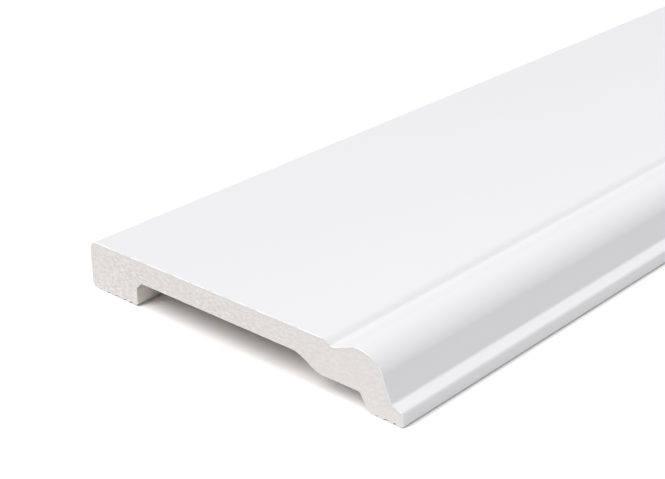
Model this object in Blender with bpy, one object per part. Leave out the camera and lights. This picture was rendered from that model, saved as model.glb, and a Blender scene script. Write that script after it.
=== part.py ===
"""Skirting board: one moulded length of dense polymer, lying on its back.

The section is drawn flat and drawn out along the length. In the section, rise
runs from the floor edge to the top edge of the board, and depth runs from the
back of the foot out into the room. The lip along the top edge stands further
back than the foot, so that the top edge closes on the wall, and the board lies
with a slight lean on the two. In the finished part rise is +X, depth is +Z and
the sawn end that shows faces -Y.
"""

import math

import bpy

# Overall sizes, in metres
LENGTH = 0.360
HEIGHT = 0.1192
CREST_DEPTH = 0.0165

# Flat face and the plate behind it
FACE_DEPTH = 0.0152
PLATE_THICKNESS = 0.00725

# Foot, the thick land along the floor edge
FOOT_WIDTH = 0.0197
FLOOR_EDGE_RADIUS = 0.0026
BACK_EDGE_RADIUS = 0.0021
FOOT_CORNER_RADIUS = 0.0012
CHANNEL_CHAMFER = 0.0021

# Moulding, from the top edge of the board down to the flat face
FILLET_WIDTH = 0.0038
FILLET_DEPTH = 0.0030
FILLET_FALL = 0.00125
TOP_EDGE_RADIUS = 0.0010
COVE_WIDTH = 0.0030
COVE_HOLLOW = 0.0001
COVE_FOOT_RADIUS = 0.0010
OVOLO_WIDTH = 0.0083
OVOLO_DROP = 0.0049
OVOLO_SWEEP = math.radians(66)
BEAD_WIDTH = 0.0032
BEAD_DROP = 0.0007
BEAD_SWEEP = math.radians(24)
BEAD_FLANK_WIDTH = 0.0047
BEAD_FOOT_RADIUS = 0.0036
QUIRK_DEPTH = 0.01395
QUIRK_FLOOR_WIDTH = 0.0014
QUIRK_FLOOR_RADIUS = 0.0012
QUIRK_SLOPE_WIDTH = 0.0019
QUIRK_EDGE_RADIUS = 0.0036

# Back of the moulding, from the top edge of the board down to the channel
LIP_STANDOFF = 0.0011
LIP_WIDTH = 0.0109
LIP_SLANT_WIDTH = 0.0035
LIP_CORNER_RADIUS = 0.0008
LIP_OUTER_RADIUS = 0.0005
RECESS_WIDTH = 0.0126
RECESS_DEPTH = 0.0041
HUMP_WIDTH = 0.0110

# Fineness of the round stretches
CORNER_STEPS = 5
CURVE_STEPS = 12

COLLECTION_NAME = "skirting_board"
BOARD_NAME = "skirting_board"


def unit_towards(start, end):
    """Unit direction from one point to another, and the distance."""
    across, up = end[0] - start[0], end[1] - start[1]
    distance = math.hypot(across, up)
    return across / distance, up / distance, distance


def turned(point, angle):
    """A point turned about the origin."""
    cosine, sine = math.cos(angle), math.sin(angle)
    return point[0] * cosine - point[1] * sine, point[0] * sine + point[1] * cosine


def round_corner(before, corner, after, radius):
    """Arc that rounds a corner between two straight runs."""
    ax, ay, a_distance = unit_towards(corner, before)
    bx, by, b_distance = unit_towards(corner, after)
    half_angle = math.acos(ax * bx + ay * by) / 2
    setback = min(radius / math.tan(half_angle), a_distance / 2, b_distance / 2)
    mid_x, mid_y, _ = unit_towards((0, 0), (ax + bx, ay + by))
    reach = setback / math.cos(half_angle)
    centre = (corner[0] + mid_x * reach, corner[1] + mid_y * reach)
    start = (corner[0] + ax * setback - centre[0], corner[1] + ay * setback - centre[1])
    end = (corner[0] + bx * setback - centre[0], corner[1] + by * setback - centre[1])
    sweep = math.atan2(start[0] * end[1] - start[1] * end[0], start[0] * end[0] + start[1] * end[1])
    points = []
    for step in range(CORNER_STEPS + 1):
        spoke = turned(start, sweep * step / CORNER_STEPS)
        points.append((centre[0] + spoke[0], centre[1] + spoke[1]))
    return points


def bowed(start, end, bow):
    """Shallow curve between two points, bowed to the left of its run."""
    along_x, along_y, _ = unit_towards(start, end)
    points = []
    for step in range(CURVE_STEPS + 1):
        share = step / CURVE_STEPS
        offset = 4 * bow * share * (1 - share)
        points.append((
            start[0] + (end[0] - start[0]) * share - along_y * offset,
            start[1] + (end[1] - start[1]) * share + along_x * offset,
        ))
    return points


def ogee(start, end):
    """S-curve that leaves and arrives level."""
    points = []
    for step in range(CURVE_STEPS + 1):
        share = step / CURVE_STEPS
        fall = (1 - math.cos(math.pi * share)) / 2
        points.append((start[0] + (end[0] - start[0]) * share, start[1] + (end[1] - start[1]) * fall))
    return points


def crown(crest, foot, sweep):
    """Elliptic arc from a level crest down to a foot, steep there if the sweep nears 90 degrees."""
    points = []
    for step in range(CURVE_STEPS + 1):
        angle = sweep * step / CURVE_STEPS
        along = math.sin(angle) / math.sin(sweep)
        fall = (1 - math.cos(angle)) / (1 - math.cos(sweep))
        points.append((crest[0] + (foot[0] - crest[0]) * along, crest[1] + (foot[1] - crest[1]) * fall))
    return points


def back_outline():
    """The back, from the floor edge to the top edge."""
    roof_depth = FACE_DEPTH - PLATE_THICKNESS
    lip_start = HEIGHT - LIP_WIDTH
    recess_end = lip_start - LIP_SLANT_WIDTH
    recess_start = recess_end - RECESS_WIDTH
    hump_start = recess_start - HUMP_WIDTH

    foot_inner = (FOOT_WIDTH, 0)
    chamfer_foot = (FOOT_WIDTH, roof_depth - CHANNEL_CHAMFER)
    chamfer_head = (FOOT_WIDTH + CHANNEL_CHAMFER, roof_depth)
    hump_head = (hump_start, roof_depth)
    hump_foot = (recess_start, RECESS_DEPTH)
    recess_corner = (recess_end, RECESS_DEPTH)
    lip_inner = (lip_start, -LIP_STANDOFF)
    lip_outer = (HEIGHT, -LIP_STANDOFF)
    fillet_outer = (HEIGHT, FILLET_DEPTH)

    points = round_corner((0, FACE_DEPTH), (0, 0), foot_inner, BACK_EDGE_RADIUS)
    points += round_corner((0, 0), foot_inner, chamfer_foot, FOOT_CORNER_RADIUS)
    points.append(chamfer_foot)
    points.append(chamfer_head)
    points += ogee(hump_head, hump_foot)
    points += round_corner(hump_foot, recess_corner, lip_inner, LIP_CORNER_RADIUS)
    points += round_corner(recess_corner, lip_inner, lip_outer, LIP_CORNER_RADIUS)
    points += round_corner(lip_inner, lip_outer, fillet_outer, LIP_OUTER_RADIUS)
    return points


def face_outline():
    """The moulding and the flat face, from the top edge to the floor edge."""
    lip_outer = (HEIGHT, -LIP_STANDOFF)
    fillet_outer = (HEIGHT, FILLET_DEPTH)
    cove_foot = (HEIGHT - FILLET_WIDTH, FILLET_DEPTH + FILLET_FALL)
    cove_head = (cove_foot[0] - COVE_WIDTH, CREST_DEPTH - OVOLO_DROP)
    crest = (cove_head[0] - OVOLO_WIDTH, CREST_DEPTH)
    bead_shoulder = (crest[0] - BEAD_WIDTH, CREST_DEPTH - BEAD_DROP)
    bead_foot = (bead_shoulder[0] - BEAD_FLANK_WIDTH, QUIRK_DEPTH)
    quirk_head = (bead_foot[0] - QUIRK_FLOOR_WIDTH, QUIRK_DEPTH)
    face_end = (quirk_head[0] - QUIRK_SLOPE_WIDTH, FACE_DEPTH)
    face_start = (0, FACE_DEPTH)

    cove_foot_arc = round_corner(fillet_outer, cove_foot, cove_head, COVE_FOOT_RADIUS)
    ovolo = crown(crest, cove_head, OVOLO_SWEEP)
    points = round_corner(lip_outer, fillet_outer, cove_foot, TOP_EDGE_RADIUS)
    points += cove_foot_arc[:-1]
    points += bowed(cove_foot_arc[-1], cove_head, COVE_HOLLOW)
    points += ovolo[-2::-1]
    points += crown(crest, bead_shoulder, BEAD_SWEEP)[1:]
    points += round_corner(bead_shoulder, bead_foot, quirk_head, BEAD_FOOT_RADIUS)
    points += round_corner(bead_foot, quirk_head, face_end, QUIRK_FLOOR_RADIUS)
    points += round_corner(quirk_head, face_end, face_start, QUIRK_EDGE_RADIUS)
    points += round_corner(face_end, face_start, (0, 0), FLOOR_EDGE_RADIUS)
    return points


def laid_on_back(outline):
    """The outline leaned until foot and lip both touch the surface, then centred over it."""
    foot_side = [point for point in outline if point[0] < HEIGHT / 2]
    lip_side = [point for point in outline if point[0] >= HEIGHT / 2]
    lean = 0
    for _ in range(CORNER_STEPS):
        foot_low = min(foot_side, key=lambda point: turned(point, lean)[1])
        lip_low = min(lip_side, key=lambda point: turned(point, lean)[1])
        lean = -math.atan2(lip_low[1] - foot_low[1], lip_low[0] - foot_low[0])
    leaned = [turned(point, lean) for point in outline]
    across = [point[0] for point in leaned]
    middle = (min(across) + max(across)) / 2
    lowest = min(point[1] for point in leaned)
    return [(point[0] - middle, point[1] - lowest) for point in leaned]


def polymer_material():
    """White primed polymer."""
    material = bpy.data.materials.new("primed_polymer")
    material.use_nodes = True
    shader = material.node_tree.nodes["Principled BSDF"]
    shader.inputs["Base Color"].default_value = (0.86, 0.87, 0.88, 1)
    shader.inputs["Roughness"].default_value = 0.45
    shader.inputs["Metallic"].default_value = 0
    return material


def moulding(name, outline, length):
    """A section drawn out along Y, half its length to each side."""
    curve = bpy.data.curves.new(name, "CURVE")
    curve.dimensions = "2D"
    curve.fill_mode = "BOTH"
    curve.extrude = length / 2
    spline = curve.splines.new("POLY")
    spline.points.add(len(outline) - 1)
    for point, (across, up) in zip(spline.points, outline):
        point.co = (across, up, 0, 1)
    spline.use_cyclic_u = True
    board = bpy.data.objects.new(name, curve)
    board.rotation_euler = (math.pi / 2, 0, 0)
    return board


def main():
    """Clear the scene and build the board."""
    for leftover in list(bpy.data.objects):
        bpy.data.objects.remove(leftover)
    board = moulding(BOARD_NAME, laid_on_back(back_outline() + face_outline()), LENGTH)
    board.data.materials.append(polymer_material())
    collection = bpy.data.collections.new(COLLECTION_NAME)
    collection.objects.link(board)
    bpy.context.scene.collection.children.link(collection)


main()
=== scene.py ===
"""Skirting board: the looks of one sawn length of white primed moulding, lying on its back.

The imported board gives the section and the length. The board made here is one
closed mesh on that section: its round stretches are drawn smooth, both sawn
ends have a torn, slightly broken surface, and the sharp edges where the saw
came through are worn and chipped. Rise is +X, the length is along Y and the
face looks up.
"""

import math

import bmesh
import bpy
import numpy as np
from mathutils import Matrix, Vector, kdtree, noise
from mathutils.geometry import delaunay_2d_cdt


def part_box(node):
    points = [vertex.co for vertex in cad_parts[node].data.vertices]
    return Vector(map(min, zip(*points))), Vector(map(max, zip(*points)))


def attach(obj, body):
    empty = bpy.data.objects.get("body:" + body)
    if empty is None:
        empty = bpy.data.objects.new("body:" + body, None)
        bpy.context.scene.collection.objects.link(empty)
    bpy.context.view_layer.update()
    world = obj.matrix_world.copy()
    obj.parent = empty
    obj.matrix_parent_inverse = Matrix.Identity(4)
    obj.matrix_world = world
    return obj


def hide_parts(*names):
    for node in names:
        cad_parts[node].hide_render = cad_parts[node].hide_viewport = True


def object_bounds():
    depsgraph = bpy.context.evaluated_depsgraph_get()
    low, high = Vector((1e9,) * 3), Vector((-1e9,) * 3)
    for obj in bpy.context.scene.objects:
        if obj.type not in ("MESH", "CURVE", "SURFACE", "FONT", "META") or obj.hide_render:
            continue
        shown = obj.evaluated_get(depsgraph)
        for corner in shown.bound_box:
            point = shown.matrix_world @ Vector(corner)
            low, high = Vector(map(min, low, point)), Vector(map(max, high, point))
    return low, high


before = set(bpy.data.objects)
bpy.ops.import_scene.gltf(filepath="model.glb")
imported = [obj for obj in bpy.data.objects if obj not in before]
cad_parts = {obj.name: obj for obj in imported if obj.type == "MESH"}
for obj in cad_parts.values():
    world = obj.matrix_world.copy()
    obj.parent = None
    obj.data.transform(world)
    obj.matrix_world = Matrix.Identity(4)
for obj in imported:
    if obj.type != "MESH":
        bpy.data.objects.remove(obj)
packed_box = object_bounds()

MM = 0.001
BOARD = "skirting_board"

# Camera, fitted to the long edges and the sawn end of the board
CAMERA_PLACE = (0.264483, -0.436352, 0.206561)
CAMERA_AZIMUTH = math.radians(41.713)
CAMERA_ELEVATION = math.radians(25.152)
CAMERA_LENS_MM = 82.735
SENSOR_WIDTH_MM = 36

# Light: one wide soft box high in front of the near end, and even surroundings
SOFT_BOX_PLACE = (-0.95, -2.83, 5.10)
SOFT_BOX_WIDTH = 2.4
SOFT_BOX_LENGTH = 5.6
SOFT_BOX_POWER = 328
SURROUNDINGS_WHITE = (1, 1, 1, 1)
SURROUNDINGS_STRENGTH = 0.41

# Floor
FLOOR_HALF_WIDTH = 3
FLOOR_WHITE = (0.97, 0.97, 0.97, 1)

# Section, in millimetres, with the longest run and the sharpest turn that are drawn as a curve
WELD = 0.01
LONG_RUN = 1.6
SHARP_TURN = math.radians(25)
OUTLINE_GRAIN = 0.35

# Sharpest turn between faces that is shaded as round
CREASE = math.radians(38)

# How squarely a surface has to face the near end, or the floor, to count as doing so
END_FACING = 0.9
FLOOR_FACING = 0.7

# Worn edge where the saw came through, in millimetres
FACE_EDGE_WEAR = 0.18
SIDE_EDGE_WEAR = 0.05
BACK_EDGE_WEAR = 0.08
EDGE_STEPS = 3

# Heavier wear along the top edge, in millimetres, and how much further in from the cut it runs
TOP_EDGE_WEAR = 0.45
TOP_EDGE_REACH = 1.6
TOP_EDGE_RUN = 0.5

# Unevenness of the wear, as a share of it, and its grain in millimetres
WEAR_UNEVENNESS = 1.1
WEAR_GRAIN = 3.0

# Broken lower edge of the cut, in millimetres
LOWER_EDGE_BAND = 0.3
LOWER_EDGE_GAP = 0.12
LOWER_EDGE_REACH = 0.8

# Chips in the lower edge, in millimetres, each with its start and end measured from the floor edge
CHIPS = (
    (6.4, 8.0),
    (9.9, 11.9),
    (13.5, 15.2),
    (16.3, 17.8),
    (110.2, 111.5),
    (113.0, 115.0),
    (116.0, 117.3),
)
CHIP_GAP = 0.38
CHIP_REACH = 2.0
CHIP_ENDS = 0.25

# Mesh of the sawn ends, in millimetres
SAWN_GRAIN = 0.36
RIM_CLEARANCE = 0.30
MESHING_GAP = 0.0001

# Torn surface of the sawn ends, in millimetres, calmer at the rim, with tears and pits drawn out
RIM_FLATNESS = 1.0
RIM_SHARE = 0.25
TEAR_DEPTH = 0.035
TEAR_GRAIN = 1.4
TEAR_STRETCH = 3
PIT_DEPTH = 0.05
PIT_GRAIN = 0.9
PIT_STRETCH = 2
PIT_THRESHOLD = 0.25
PIT_SEED = 50
BLADE_RADIUS = 125
BLADE_MARK_DEPTH = 0.008
BLADE_MARK_PITCH = 2.2

# Edge of the paint film: how far a surface has to face up, or out past the top edge, to show it
FILM_START = 0.75
FILM_RISE = 0.2

# Rings of points along the length, in millimetres, closer together by the ends
END_RINGS = (3.2, 4.4, 6.5)
RING_PITCH = 10

# Order of the finishes on the board
FACE_FINISH, BACK_FINISH, SAWN_FINISH = range(3)

# Colours
# The next two colours are one primer, in painted shade and painted light
PRIMER_SHADED = (0.786, 0.785, 0.801, 1)
PRIMER_LIT = (0.829, 0.828, 0.843, 1)
EDGE_WHITE = (0.885, 0.875, 0.862, 1)
# The next two colours are one bare skin, in painted light and painted shade
SKIN_LIT = (0.752, 0.705, 0.664, 1)
SKIN_SHADED = (0.475, 0.420, 0.355, 1)
CORE_PALE = (0.740, 0.714, 0.690, 1)
CORE_DULL = (0.545, 0.529, 0.516, 1)
CORE_EVEN = (0.666, 0.638, 0.622, 1)
CORE_STRAW = (0.656, 0.638, 0.600, 1)
DENSE_SKIN = (0.620, 0.616, 0.612, 1)
TORN_RIM = (0.840, 0.820, 0.800, 1)

# Stretches over which a finish changes, in metres from the board's middle or up from the floor; the primer's
# and the back's stretches place painted light and shade
PRIMER_RISE = (-0.06, 0.06)
PRIMER_LENGTH = (-0.20, 0.20)
CORE_RISE = (-0.05, 0.05)
BEHIND_MOULDING = (0.005, 0.035)
WALL_TOP = (0.0050, 0.0066)

# The same by the foot's inner wall, in metres in from the floor edge and from the near end, where the back's
# painted light falls
FLOOR_EDGE, NEAR_END = packed_box[0][:2]
FOOT_WALL = (FLOOR_EDGE + 0.0197, FLOOR_EDGE + 0.0237)
NEAR_OPENING = (NEAR_END + 0.003, NEAR_END + 0.012)


def read_section(board):
    """Corners of the board's section in millimetres, anticlockwise with rise to the right."""
    shape = bmesh.new()
    shape.from_mesh(board.data)
    bmesh.ops.remove_doubles(shape, verts=shape.verts, dist=WELD * MM)
    shape.normal_update()
    beside = {}
    for edge in shape.edges:
        on_near_end = [face.normal.y < -END_FACING for face in edge.link_faces]
        if any(on_near_end) and not all(on_near_end):
            one, other = edge.verts
            beside.setdefault(one, []).append(other)
            beside.setdefault(other, []).append(one)
    start = min(beside, key=lambda corner: corner.co.x)
    walk = [start, beside[start][0]]
    while len(walk) < len(beside):
        one, other = beside[walk[-1]]
        walk.append(other if one == walk[-2] else one)
    corners = np.array([(corner.co.x, corner.co.z) for corner in walk]) / MM
    shape.free()
    ahead = np.roll(corners, -1, axis=0)
    doubled_area = np.sum(corners[:, 0] * ahead[:, 1] - ahead[:, 0] * corners[:, 1])
    return corners if doubled_area > 0 else corners[::-1]


def drawn_smooth(corners):
    """The section with its round stretches drawn as curves, and its flats and sharp corners kept."""
    runs = np.roll(corners, -1, axis=0) - corners
    lengths = np.linalg.norm(runs, axis=1)
    headings = runs / lengths[:, None]
    leaving = []
    arriving = []
    for corner in range(len(corners)):
        behind, ahead = headings[corner - 1], headings[corner]
        turn = math.acos(min(1, float(behind @ ahead)))
        if turn > SHARP_TURN:
            arriving.append(behind)
            leaving.append(ahead)
            continue
        if lengths[corner - 1] > LONG_RUN:
            tangent = behind
        elif lengths[corner] > LONG_RUN:
            tangent = ahead
        else:
            tangent = behind * lengths[corner] + ahead * lengths[corner - 1]
            tangent = tangent / np.linalg.norm(tangent)
        arriving.append(tangent)
        leaving.append(tangent)
    points = []
    for corner in range(len(corners)):
        following = (corner + 1) % len(corners)
        start, end = corners[corner], corners[following]
        pull = lengths[corner]
        steps = max(1, round(pull / OUTLINE_GRAIN))
        for step in range(steps):
            share = step / steps
            square, cube = share ** 2, share ** 3
            points.append(
                (2 * cube - 3 * square + 1) * start
                + (cube - 2 * square + share) * pull * leaving[corner]
                + (3 * square - 2 * cube) * end
                + (cube - square) * pull * arriving[following]
            )
    return np.array(points)


def outward(outline):
    """Direction out of the board at each point of the section."""
    across = np.roll(outline, -1, axis=0) - np.roll(outline, 1, axis=0)
    normals = np.stack([across[:, 1], -across[:, 0]], axis=1)
    return normals / np.linalg.norm(normals, axis=1)[:, None]


def on_back(outline, normals):
    """Whether each point belongs to the back, from the floor edge's corner to the top edge's."""
    down = np.flatnonzero(normals[:, 1] < -FLOOR_FACING)
    leftmost = np.argmin(outline[:, 0])
    walk = (np.arange(len(outline)) + leftmost) % len(outline)
    order = np.empty(len(outline), int)
    order[walk] = np.arange(len(outline))
    first, last = order[down].min(), order[down].max()
    return (order >= first) & (order <= last)


def edge_wear(outline, normals, back, seed, chips):
    """How far the saw's exit edge is worn back at each point, and how far in from the cut."""
    rise = outline[:, 0] - outline[:, 0].min()
    top = rise.max()
    wear = []
    reach = []
    for point, normal, from_floor_edge, behind in zip(outline, normals, rise, back):
        spot = Vector((point[0], point[1], seed)) / WEAR_GRAIN
        upward = max(0, normal[1]) ** 2
        front_wear = SIDE_EDGE_WEAR + (FACE_EDGE_WEAR - SIDE_EDGE_WEAR) * upward
        amount = BACK_EDGE_WEAR if behind else front_wear
        amount *= 1 + WEAR_UNEVENNESS * noise.noise(spot)
        near_top = max(0, 1 - (top - from_floor_edge) / TOP_EDGE_REACH) * max(0, normal[0]) ** 2
        amount += (TOP_EDGE_WEAR - FACE_EDGE_WEAR) * near_top
        inwards = amount + TOP_EDGE_RUN * near_top
        if behind and point[1] < LOWER_EDGE_BAND:
            inside = max(
                [min(from_floor_edge - start, end - from_floor_edge) / CHIP_ENDS for start, end in chips],
                default=0,
            )
            chipped = min(1, max(0, inside))
            amount += LOWER_EDGE_GAP + CHIP_GAP * chipped
            inwards += LOWER_EDGE_REACH + CHIP_REACH * chipped
        wear.append(amount)
        reach.append(inwards)
    return np.array(wear), np.array(reach)


def sawn_depth(across, up, skin_depth, seed):
    """How deep the sawn surface lies below the cut's plane, in millimetres."""
    tear = noise.noise(Vector((across / TEAR_STRETCH, up, seed)) / TEAR_GRAIN) + 1
    pit_place = Vector((across / PIT_STRETCH, up, seed + PIT_SEED)) / PIT_GRAIN
    pit = max(0, noise.noise(pit_place) - PIT_THRESHOLD)
    sweep = math.hypot(across, up + BLADE_RADIUS)
    blade = math.sin(2 * math.pi * sweep / BLADE_MARK_PITCH) + 1
    share = min(1, RIM_SHARE + skin_depth / RIM_FLATNESS)
    return share * (TEAR_DEPTH * tear + PIT_DEPTH * pit + BLADE_MARK_DEPTH * blade)


def inner_points(outline, normals):
    """Points spread evenly inside the section, with their depth below its skin."""
    tree = kdtree.KDTree(len(outline))
    for index, point in enumerate(outline):
        tree.insert((point[0], point[1], 0), index)
    tree.balance()
    low, high = outline.min(axis=0), outline.max(axis=0)
    row_pitch = SAWN_GRAIN * math.sqrt(3) / 2
    found = []
    for row in range(int((high[1] - low[1]) / row_pitch)):
        up = low[1] + (row + 0.5) * row_pitch
        shift = SAWN_GRAIN / 2 * (row % 2)
        for column in range(int((high[0] - low[0]) / SAWN_GRAIN)):
            across = low[0] + shift + column * SAWN_GRAIN
            nearest, index, depth = tree.find((across, up, 0))
            outwards = (across - nearest.x) * normals[index][0] + (up - nearest.y) * normals[index][1]
            if outwards < 0 and depth > RIM_CLEARANCE + SAWN_GRAIN / 2:
                found.append((across, up, depth, index))
    return found


class BoardMesh:
    """Points, faces and surface values of the board while it is built, in millimetres."""

    def __init__(self):
        self.points = []
        self.faces = []
        self.finishes = []
        self.skin_depths = []
        self.face_sides = []
        self.films = []

    def add_point(self, across, along, up, skin_depth, face_side, film):
        """One point, with its depth below the skin, whether it is on the face's side, and its paint film."""
        self.points.append((across, along, up))
        self.skin_depths.append(skin_depth)
        self.face_sides.append(face_side)
        self.films.append(film)
        return len(self.points) - 1

    def add_face(self, corners, finish):
        """One face on points that are there already."""
        self.faces.append(corners)
        self.finishes.append(finish)

    def as_object(self, name, materials):
        """The finished board in the scene."""
        mesh = bpy.data.meshes.new(name)
        mesh.from_pydata([Vector(point) * MM for point in self.points], [], self.faces)
        for material in materials:
            mesh.materials.append(material)
        mesh.polygons.foreach_set("material_index", self.finishes)
        shown = {"skin_depth": self.skin_depths, "face_side": self.face_sides, "film": self.films}
        for title, values in shown.items():
            mesh.attributes.new(title, "FLOAT", "POINT").data.foreach_set("value", values)
        mesh.shade_smooth()
        mesh.set_sharp_from_angle(angle=CREASE)
        board = bpy.data.objects.new(name, mesh)
        bpy.context.scene.collection.objects.link(board)
        return board


def sawn_end(mesh, outline, normals, back, end, inwards, chips):
    """One sawn end: its torn surface and its worn edge. Gives back the outermost ring of points."""
    wear, reach = edge_wear(outline, normals, back, end, chips)
    face_side = np.where(back, 0.0, 1.0)
    film = face_side * np.clip((np.maximum(normals[:, 1], normals[:, 0]) - FILM_START) / FILM_RISE, 0, 1)
    count = len(outline)
    rings = []
    for step in range(EDGE_STEPS + 1):
        angle = math.pi / 2 * step / EDGE_STEPS
        ring = []
        for index in range(count):
            skin_depth = wear[index] * (1 - math.sin(angle))
            across, up = outline[index] - normals[index] * skin_depth
            depth = reach[index] * (1 - math.cos(angle)) + sawn_depth(across, up, 0, end)
            along = end + inwards * depth
            ring.append(mesh.add_point(across, along, up, skin_depth, face_side[index], film[index]))
        rings.append(ring)
    inner = []
    for across, up, skin_depth, index in inner_points(outline, normals):
        along = end + inwards * sawn_depth(across, up, skin_depth, end)
        inner.append(mesh.add_point(across, along, up, skin_depth, face_side[index], film[index]))
    sources = rings[0] + inner
    flat = [Vector((mesh.points[source][0], mesh.points[source][2])) for source in sources]
    rim = [(index, (index + 1) % count) for index in range(count)]
    _, _, triangles, origins, _, _ = delaunay_2d_cdt(flat, rim, [], 1, MESHING_GAP)
    for triangle in triangles:
        corners = [sources[origins[corner][0]] for corner in triangle]
        mesh.add_face(corners if inwards > 0 else corners[::-1], SAWN_FINISH)
    for inner_ring, outer_ring in zip(rings, rings[1:]):
        for index in range(count):
            following = (index + 1) % count
            corners = [inner_ring[index], inner_ring[following], outer_ring[following], outer_ring[index]]
            primed = not back[index] and normals[index][0] > FILM_START
            finish = FACE_FINISH if primed else SAWN_FINISH
            mesh.add_face(corners if inwards < 0 else corners[::-1], finish)
    return rings[-1]


def make_board(node):
    """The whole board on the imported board's section and length."""
    corners = read_section(node)
    outline = drawn_smooth(corners)
    normals = outward(outline)
    back = on_back(outline, normals)
    low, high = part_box(BOARD)
    near, far = low.y / MM, high.y / MM
    mesh = BoardMesh()
    near_rim = sawn_end(mesh, outline, normals, back, near, 1, CHIPS)
    far_rim = sawn_end(mesh, outline, normals, back, far, -1, ())
    middle_start, middle_end = near + END_RINGS[-1], far - END_RINGS[-1]
    stretches = round((middle_end - middle_start) / RING_PITCH)
    places = [near + depth for depth in END_RINGS[:-1]]
    places += list(np.linspace(middle_start, middle_end, stretches + 1))
    places += [far - depth for depth in reversed(END_RINGS[:-1])]
    rings = [near_rim]
    for along in places:
        rings.append([mesh.add_point(point[0], along, point[1], 0, 1, 1) for point in outline])
    rings.append(far_rim)
    for ring, next_ring in zip(rings, rings[1:]):
        for index in range(len(outline)):
            following = (index + 1) % len(outline)
            finish = BACK_FINISH if back[index] and back[following] else FACE_FINISH
            mesh.add_face([ring[index], ring[following], next_ring[following], next_ring[index]], finish)
    return mesh.as_object("moulded_length", [white_primer(), bare_back(), sawn_core()])


class Level:
    """A number that changes over a surface. Sums on it add Math nodes."""

    def __init__(self, finish, socket):
        self.finish = finish
        self.socket = socket

    def __add__(self, other):
        return self.finish.maths("ADD", self, other)

    __radd__ = __add__

    def __sub__(self, other):
        return self.finish.maths("SUBTRACT", self, other)

    def __rsub__(self, other):
        return self.finish.maths("SUBTRACT", other, self)

    def __mul__(self, other):
        return self.finish.maths("MULTIPLY", self, other)

    __rmul__ = __mul__

    def between(self, low, high):
        """0 up to low, 1 from high on, and a smooth rise from one to the other."""
        ranged = self.finish.node(
            "ShaderNodeMapRange", {"interpolation_type": "SMOOTHSTEP"}, {0: self, 1: low, 2: high}
        )
        return Level(self.finish, ranged.outputs[0])


class Finish:
    """A material for one surface of the board or the floor, and the nodes that make it."""

    def __init__(self, name, specular):
        self.material = bpy.data.materials.new(name)
        self.material.use_nodes = True
        self.tree = self.material.node_tree
        self.shader = self.tree.nodes["Principled BSDF"]
        self.feed(self.shader, "Specular IOR Level", specular)

    def feed(self, node, socket, value):
        """Sets a node's socket to a fixed value, or links it to one that varies."""
        if isinstance(value, Level):
            value = value.socket
        if isinstance(value, bpy.types.NodeSocket):
            self.tree.links.new(value, node.inputs[socket])
        else:
            node.inputs[socket].default_value = value

    def node(self, kind, settings, sockets):
        """A node of any kind: its settings first, then the values or links of its sockets."""
        made = self.tree.nodes.new(kind)
        for setting, value in settings.items():
            setattr(made, setting, value)
        for socket, value in sockets.items():
            self.feed(made, socket, value)
        return made

    def maths(self, operation, first, second):
        """A sum of two levels, or of a level and a number."""
        worked_out = self.node("ShaderNodeMath", {"operation": operation}, {0: first, 1: second})
        return Level(self, worked_out.outputs[0])

    def place(self):
        """Where a point of the board is, in metres."""
        return self.node("ShaderNodeTexCoord", {}, {}).outputs["Object"]

    def sides(self, place):
        """A place's rise, its distance along the board and its height above the floor."""
        parted = self.node("ShaderNodeSeparateXYZ", {}, {0: place})
        return [Level(self, output) for output in parted.outputs]

    def scaled(self, place, scale):
        """A place stretched along each axis."""
        return self.node("ShaderNodeVectorMath", {"operation": "MULTIPLY"}, {0: place, 1: scale}).outputs[0]

    def shown_value(self, title):
        """A value that the mesh carries at its points."""
        carried = self.node("ShaderNodeAttribute", {"attribute_name": title}, {})
        return Level(self, carried.outputs["Fac"])

    def clouds(self, place, scale, detail=2, roughness=0.5):
        """Soft noise from 0 to 1, its scale in clouds per metre."""
        sockets = {"Vector": place, "Scale": scale, "Detail": detail, "Roughness": roughness}
        return Level(self, self.node("ShaderNodeTexNoise", {}, sockets).outputs[0])

    def blend(self, share, first, second):
        """A colour between two, by a share from 0 to 1."""
        mixed = self.node("ShaderNodeMix", {"data_type": "RGBA"}, {0: share, 6: first, 7: second})
        return mixed.outputs[2]

    def paint(self, colour):
        """The surface's colour."""
        self.feed(self.shader, "Base Color", colour)

    def polish(self, roughness):
        """The surface's roughness."""
        self.feed(self.shader, "Roughness", roughness)

    def emboss(self, height, distance, strength):
        """Fine relief that is too small for the mesh."""
        sockets = {"Height": height, "Distance": distance, "Strength": strength}
        bump = self.node("ShaderNodeBump", {}, sockets)
        self.feed(self.shader, "Normal", bump.outputs[0])


def white_primer():
    """Sprayed satin primer on the face and the edges, with painted light: darker toward the floor edge and
    the near end, lighter toward the moulding and the far end.
    """
    finish = Finish("white_primer", specular=0.15)
    place = finish.place()
    rise, along, _ = finish.sides(place)
    drift = finish.clouds(place, scale=28)
    peel = finish.clouds(place, scale=900)
    # Painted light and shade: darker toward the floor edge and the near end, lighter toward the moulding and
    # the far end, with a faint random drift in tone
    painted_light_and_drift = rise.between(*PRIMER_RISE) * 0.6 + along.between(*PRIMER_LENGTH) * 0.35 + drift * 0.1
    finish.paint(finish.blend(painted_light_and_drift, PRIMER_SHADED, PRIMER_LIT))
    finish.polish(0.46 + drift * 0.08)
    finish.emboss(peel, distance=0.00002, strength=0.4)
    return finish.material


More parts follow.
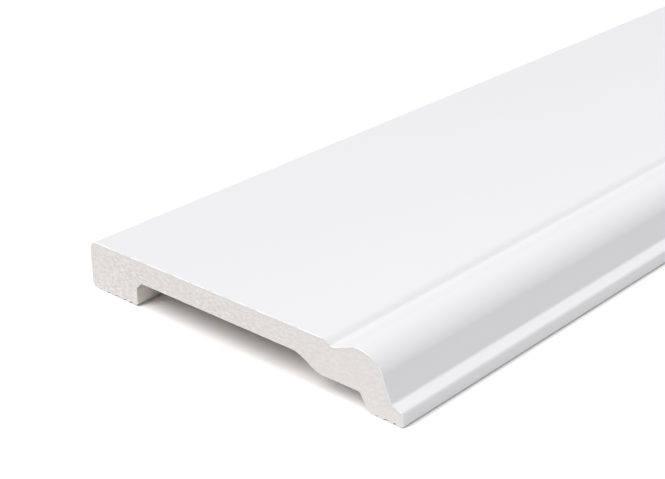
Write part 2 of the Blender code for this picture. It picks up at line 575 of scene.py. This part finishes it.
def bare_back():
    """Moulded skin of the polymer, left bare on the back, with painted shade in the cable channel and
    painted light on the foot's inner wall by the near opening and behind the moulding.
    """
    finish = Finish("bare_back", specular=0.4)
    place = finish.place()
    rise, along, up = finish.sides(place)
    die_lines = finish.clouds(finish.scaled(place, (1, 0.01, 1)), scale=1400)
    patches = finish.clouds(place, scale=60, detail=3)
    near_foot = (1 - rise.between(*FOOT_WALL)) * (1 - along.between(*NEAR_OPENING))
    lit_wall = near_foot * (1 - up.between(*WALL_TOP))
    # Painted shade through the cable channel, and painted light on the lit foot wall by the near opening and
    # behind the moulding
    painted_shade = 0.9 - lit_wall * 0.9 - rise.between(*BEHIND_MOULDING) * 0.9
    finish.paint(finish.blend(painted_shade + patches * 0.1, SKIN_LIT, SKIN_SHADED))
    finish.polish(0.6)
    finish.emboss(die_lines, distance=0.00003, strength=0.5)
    return finish.material


def sawn_core():
    """Foamed core laid open by the saw, denser under the skin, with the primer's edge as a thin line."""
    finish = Finish("sawn_core", specular=0.3)
    place = finish.place()
    rise, _, _ = finish.sides(place)
    skin_depth = finish.shown_value("skin_depth")
    face_side = finish.shown_value("face_side")
    patches = finish.clouds(place, scale=130)
    mottle = finish.clouds(finish.scaled(place, (0.4, 1, 1)), scale=1500, detail=4, roughness=0.7)
    cells = finish.clouds(place, scale=2600)
    strokes = finish.blend(mottle.between(0.36, 0.64), CORE_DULL, CORE_PALE)
    tone = finish.blend(rise.between(*CORE_RISE) * 0.65, strokes, CORE_EVEN)
    core = finish.blend(patches.between(0.45, 0.7) * 0.5, tone, CORE_STRAW)
    dense = face_side * (1 - (skin_depth + mottle * 0.8).between(0.9, 1.9)) * 0.8
    skinned = finish.blend(dense, core, DENSE_SKIN)
    rim = (1 - face_side) * (1 - (skin_depth + cells * 0.3).between(0.2, 0.5))
    torn = finish.blend(rim * 0.6, skinned, TORN_RIM)
    flakes = finish.clouds(place, scale=260).between(0.38, 0.58) * 0.7 + 0.3
    film = finish.shown_value("film") * (1 - skin_depth.between(0.1, 0.25)) * flakes
    finish.paint(finish.blend(film, torn, EDGE_WHITE))
    finish.polish(0.88 - film * 0.4)
    finish.emboss(cells, distance=0.00006, strength=0.6)
    return finish.material


def make_floor():
    """Plain pale floor under the board."""
    side = FLOOR_HALF_WIDTH
    corners = [(-side, -side, 0), (side, -side, 0), (side, side, 0), (-side, side, 0)]
    mesh = bpy.data.meshes.new("floor")
    mesh.from_pydata(corners, [], [(0, 1, 2, 3)])
    floor = bpy.data.objects.new("floor", mesh)
    finish = Finish("pale_floor", specular=0)
    finish.paint(FLOOR_WHITE)
    finish.polish(0.9)
    mesh.materials.append(finish.material)
    bpy.context.scene.collection.objects.link(floor)
    return floor


def make_soft_box():
    """A long soft box aimed at the middle of the board."""
    light = bpy.data.lights.new("soft_box", "AREA")
    light.shape = "RECTANGLE"
    light.size = SOFT_BOX_WIDTH
    light.size_y = SOFT_BOX_LENGTH
    light.energy = SOFT_BOX_POWER
    lamp = bpy.data.objects.new("soft_box", light)
    lamp.location = SOFT_BOX_PLACE
    lamp.rotation_euler = Vector(SOFT_BOX_PLACE).to_track_quat("Z", "Y").to_euler()
    bpy.context.scene.collection.objects.link(lamp)


def make_camera():
    """Camera at the photograph's place."""
    lens = bpy.data.cameras.new("camera")
    lens.sensor_width = SENSOR_WIDTH_MM
    lens.lens = CAMERA_LENS_MM
    camera = bpy.data.objects.new("camera", lens)
    camera.location = CAMERA_PLACE
    camera.rotation_euler = (math.pi / 2 - CAMERA_ELEVATION, 0, CAMERA_AZIMUTH)
    bpy.context.scene.collection.objects.link(camera)
    bpy.context.scene.camera = camera


def make_surroundings():
    """Even white surroundings."""
    world = bpy.data.worlds.new("surroundings")
    world.use_nodes = True
    sky = world.node_tree.nodes["Background"]
    sky.inputs["Color"].default_value = SURROUNDINGS_WHITE
    sky.inputs["Strength"].default_value = SURROUNDINGS_STRENGTH
    bpy.context.scene.world = world


make_camera()
make_surroundings()
make_soft_box()
bpy.context.scene.view_settings.view_transform = "Standard"

board = make_board(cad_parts[BOARD])
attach(board, "root")
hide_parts(BOARD)

floor = make_floor()
